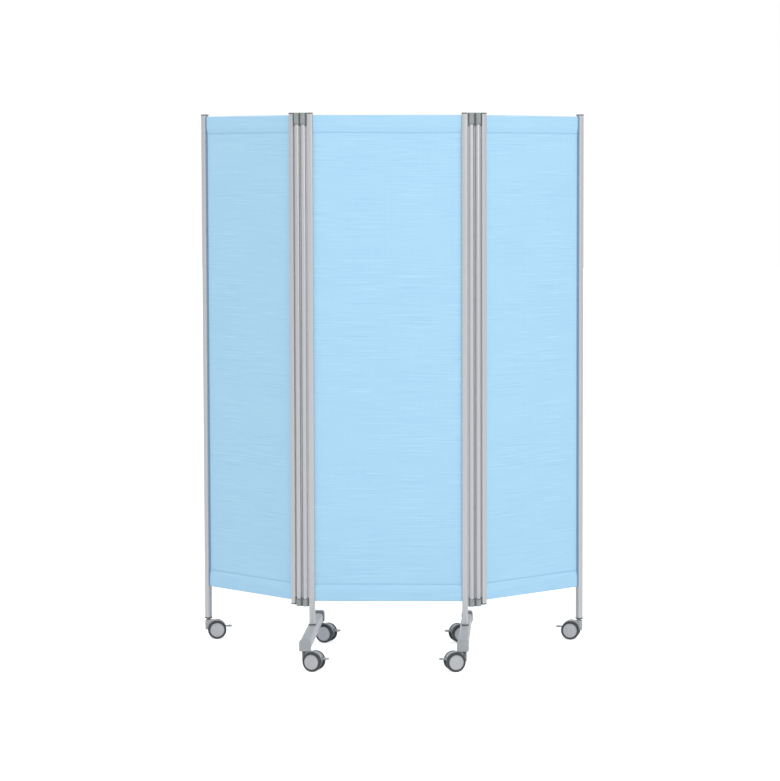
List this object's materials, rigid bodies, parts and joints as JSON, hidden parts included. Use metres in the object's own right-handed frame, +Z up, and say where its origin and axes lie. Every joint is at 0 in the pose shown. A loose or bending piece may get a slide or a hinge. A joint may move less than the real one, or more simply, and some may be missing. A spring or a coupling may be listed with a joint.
{
  "type": "ward privacy screen on wheels",
  "caption": "Folding ward privacy screen: pale blue fabric panels stretched between aluminium posts, wings on double-acting hinges, cross feet and braked twin-wheel casters.",
  "frame": {"origin": "on the floor, under the middle of the box round the screen at rest, 22 mm behind the centre panel's fabric", "axes": "+X to the right seen from the front, +Y to the back, where the wings rest, +Z up"},
  "size_m": [1.2302, 0.5876, 1.7],
  "materials": {
    "post_aluminium": "satin anodised, brushed along the post",
    "cap_plastic": "fine matt, moulded",
    "bracket_plastic": "fine matt, moulded",
    "foot_metal": "smooth satin paint, light blue grey",
    "fabric": "pale blue, fine slub weave",
    "hem_rail": "mill finish",
    "hood_plastic": "satin moulded plastic, light grey",
    "wheel_rubber": "dark grey tyre, light grey disc"
  },
  "bodies": {
    "centre_frame": {"centre_post_left": "post_aluminium", "centre_post_cap_left": "cap_plastic", "foot_left": "foot_metal", "foot_end_cap_front_left": "foot_metal", "foot_end_cap_back_left": "foot_metal", "centre_post_right": "post_aluminium", "centre_post_cap_right": "cap_plastic", "foot_right": "foot_metal", "foot_end_cap_front_right": "foot_metal", "foot_end_cap_back_right": "foot_metal", "fabric_centre": "fabric", "hem_rail_top_centre": "hem_rail", "hem_rail_bottom_centre": "hem_rail"},
    "hinge_link_left": {"hinge_bracket_top_left": "bracket_plastic", "hinge_bracket_bottom_left": "bracket_plastic"},
    "wing_left": {"wing_inner_post_left": "post_aluminium", "wing_inner_cap_left": "cap_plastic", "wing_inner_end_cap_left": "cap_plastic", "wing_outer_post_left": "post_aluminium", "wing_outer_cap_left": "cap_plastic", "wing_outer_plug_left": "cap_plastic", "fabric_left": "fabric", "hem_rail_top_left": "hem_rail", "hem_rail_bottom_left": "hem_rail"},
    "hinge_link_right": {"hinge_bracket_top_right": "bracket_plastic", "hinge_bracket_bottom_right": "bracket_plastic"},
    "wing_right": {"wing_inner_post_right": "post_aluminium", "wing_inner_cap_right": "cap_plastic", "wing_inner_end_cap_right": "cap_plastic", "wing_outer_post_right": "post_aluminium", "wing_outer_cap_right": "cap_plastic", "wing_outer_plug_right": "cap_plastic", "fabric_right": "fabric", "hem_rail_top_right": "hem_rail", "hem_rail_bottom_right": "hem_rail"},
    "caster_front_left": {"caster_hood_front_left": "hood_plastic"},
    "wheel_a_front_left": {"caster_wheel_a_front_left": "wheel_rubber"},
    "wheel_b_front_left": {"caster_wheel_b_front_left": "wheel_rubber"},
    "pedal_front_left": {"brake_pedal_front_left": "hood_plastic"},
    "caster_back_left": {"caster_hood_back_left": "hood_plastic"},
    "wheel_a_back_left": {"caster_wheel_a_back_left": "wheel_rubber"},
    "wheel_b_back_left": {"caster_wheel_b_back_left": "wheel_rubber"},
    "pedal_back_left": {"brake_pedal_back_left": "hood_plastic"},
    "caster_front_right": {"caster_hood_front_right": "hood_plastic"},
    "wheel_a_front_right": {"caster_wheel_a_front_right": "wheel_rubber"},
    "wheel_b_front_right": {"caster_wheel_b_front_right": "wheel_rubber"},
    "pedal_front_right": {"brake_pedal_front_right": "hood_plastic"},
    "caster_back_right": {"caster_hood_back_right": "hood_plastic"},
    "wheel_a_back_right": {"caster_wheel_a_back_right": "wheel_rubber"},
    "wheel_b_back_right": {"caster_wheel_b_back_right": "wheel_rubber"},
    "pedal_back_right": {"brake_pedal_back_right": "hood_plastic"},
    "caster_wing_left": {"caster_hood_wing_left": "hood_plastic"},
    "wheel_a_wing_left": {"caster_wheel_a_wing_left": "wheel_rubber"},
    "wheel_b_wing_left": {"caster_wheel_b_wing_left": "wheel_rubber"},
    "pedal_wing_left": {"brake_pedal_wing_left": "hood_plastic"},
    "caster_wing_right": {"caster_hood_wing_right": "hood_plastic"},
    "wheel_a_wing_right": {"caster_wheel_a_wing_right": "wheel_rubber"},
    "wheel_b_wing_right": {"caster_wheel_b_wing_right": "wheel_rubber"},
    "pedal_wing_right": {"brake_pedal_wing_right": "hood_plastic"}
  },
  "joints": [
    {"name": "link_turn_left", "type": "hinge", "parent": "centre_frame", "child": "hinge_link_left", "pos_m": [-0.26025, -0.02159, 0.9], "axis": [0, 0, 1], "range_deg": [-69.75, 110.25]},
    {"name": "wing_turn_left", "type": "hinge", "parent": "hinge_link_left", "child": "wing_left", "pos_m": [-0.28042, -0.01415, 0.9], "axis": [0, 0, 1], "range_deg": [-69.75, 110.25]},
    {"name": "link_turn_right", "type": "hinge", "parent": "centre_frame", "child": "hinge_link_right", "pos_m": [0.26025, -0.02159, 0.9], "axis": [0, 0, 1], "range_deg": [-110.25, 69.75]},
    {"name": "wing_turn_right", "type": "hinge", "parent": "hinge_link_right", "child": "wing_right", "pos_m": [0.28042, -0.01415, 0.9], "axis": [0, 0, 1], "range_deg": [-110.25, 69.75]},
    {"name": "swivel_front_left", "type": "hinge", "parent": "centre_frame", "child": "caster_front_left", "pos_m": [-0.24, -0.25459, 0.066], "axis": [0, 0, 1], "continuous": true},
    {"name": "wheel_a_spin_front_left", "type": "hinge", "parent": "caster_front_left", "child": "wheel_a_front_left", "pos_m": [-0.20899, -0.24551, 0.03], "axis": [0.2924, 0.9563, 0], "continuous": true},
    {"name": "wheel_b_spin_front_left", "type": "hinge", "parent": "caster_front_left", "child": "wheel_b_front_left", "pos_m": [-0.21937, -0.27946, 0.03], "axis": [0.2924, 0.9563, 0], "continuous": true},
    {"name": "brake_front_left", "type": "hinge", "parent": "caster_front_left", "child": "pedal_front_left", "pos_m": [-0.19844, -0.2673, 0.0395], "axis": [0.2924, 0.9563, 0], "range_deg": [0, 12]},
    {"name": "swivel_back_left", "type": "hinge", "parent": "centre_frame", "child": "caster_back_left", "pos_m": [-0.24, 0.21141, 0.066], "axis": [0, 0, 1], "continuous": true},
    {"name": "wheel_a_spin_back_left", "type": "hinge", "parent": "caster_back_left", "child": "wheel_a_back_left", "pos_m": [-0.20856, 0.21885, 0.03], "axis": [0.342, 0.9397, 0], "continuous": true},
    {"name": "wheel_b_spin_back_left", "type": "hinge", "parent": "caster_back_left", "child": "wheel_b_back_left", "pos_m": [-0.2207, 0.18549, 0.03], "axis": [0.342, 0.9397, 0], "continuous": true},
    {"name": "brake_back_left", "type": "hinge", "parent": "caster_back_left", "child": "pedal_back_left", "pos_m": [-0.19917, 0.19655, 0.0395], "axis": [0.342, 0.9397, 0], "range_deg": [0, 12]},
    {"name": "swivel_front_right", "type": "hinge", "parent": "centre_frame", "child": "caster_front_right", "pos_m": [0.24, -0.25459, 0.066], "axis": [0, 0, 1], "continuous": true},
    {"name": "wheel_a_spin_front_right", "type": "hinge", "parent": "caster_front_right", "child": "wheel_a_front_right", "pos_m": [0.21937, -0.27946, 0.03], "axis": [0.2924, -0.9563, 0], "continuous": true},
    {"name": "wheel_b_spin_front_right", "type": "hinge", "parent": "caster_front_right", "child": "wheel_b_front_right", "pos_m": [0.20899, -0.24551, 0.03], "axis": [0.2924, -0.9563, 0], "continuous": true},
    {"name": "brake_front_right", "type": "hinge", "parent": "caster_front_right", "child": "pedal_front_right", "pos_m": [0.19844, -0.2673, 0.0395], "axis": [0.2924, -0.9563, 0], "range_deg": [0, 12]},
    {"name": "swivel_back_right", "type": "hinge", "parent": "centre_frame", "child": "caster_back_right", "pos_m": [0.24, 0.21141, 0.066], "axis": [0, 0, 1], "continuous": true},
    {"name": "wheel_a_spin_back_right", "type": "hinge", "parent": "caster_back_right", "child": "wheel_a_back_right", "pos_m": [0.2207, 0.18549, 0.03], "axis": [0.342, -0.9397, 0], "continuous": true},
    {"name": "wheel_b_spin_back_right", "type": "hinge", "parent": "caster_back_right", "child": "wheel_b_back_right", "pos_m": [0.20856, 0.21885, 0.03], "axis": [0.342, -0.9397, 0], "continuous": true},
    {"name": "brake_back_right", "type": "hinge", "parent": "caster_back_right", "child": "pedal_back_right", "pos_m": [0.19917, 0.19655, 0.0395], "axis": [0.342, -0.9397, 0], "range_deg": [0, 12]},
    {"name": "swivel_wing_left", "type": "hinge", "parent": "wing_left", "child": "caster_wing_left", "pos_m": [-0.60302, 0.26138, 0.066], "axis": [0, 0, 1], "continuous": true},
    {"name": "wheel_a_spin_wing_left", "type": "hinge", "parent": "caster_wing_left", "child": "wheel_a_wing_left", "pos_m": [-0.57913, 0.28313, 0.03], "axis": [-0.1564, 0.9877, 0], "continuous": true},
    {"name": "wheel_b_spin_wing_left", "type": "hinge", "parent": "caster_wing_left", "child": "wheel_b_wing_left", "pos_m": [-0.57358, 0.24807, 0.03], "axis": [-0.1564, 0.9877, 0], "continuous": true},
    {"name": "brake_wing_left", "type": "hinge", "parent": "caster_wing_left", "child": "pedal_wing_left", "pos_m": [-0.5601, 0.26818, 0.0395], "axis": [-0.1564, 0.9877, 0], "range_deg": [0, 12]},
    {"name": "swivel_wing_right", "type": "hinge", "parent": "wing_right", "child": "caster_wing_right", "pos_m": [0.60302, 0.26138, 0.066], "axis": [0, 0, 1], "continuous": true},
    {"name": "wheel_a_spin_wing_right", "type": "hinge", "parent": "caster_wing_right", "child": "wheel_a_wing_right", "pos_m": [0.57358, 0.24807, 0.03], "axis": [-0.1564, -0.9877, 0], "continuous": true},
    {"name": "wheel_b_spin_wing_right", "type": "hinge", "parent": "caster_wing_right", "child": "wheel_b_wing_right", "pos_m": [0.57913, 0.28313, 0.03], "axis": [-0.1564, -0.9877, 0], "continuous": true},
    {"name": "brake_wing_right", "type": "hinge", "parent": "caster_wing_right", "child": "pedal_wing_right", "pos_m": [0.5601, 0.26818, 0.0395], "axis": [-0.1564, -0.9877, 0], "range_deg": [0, 12]}
  ]
}
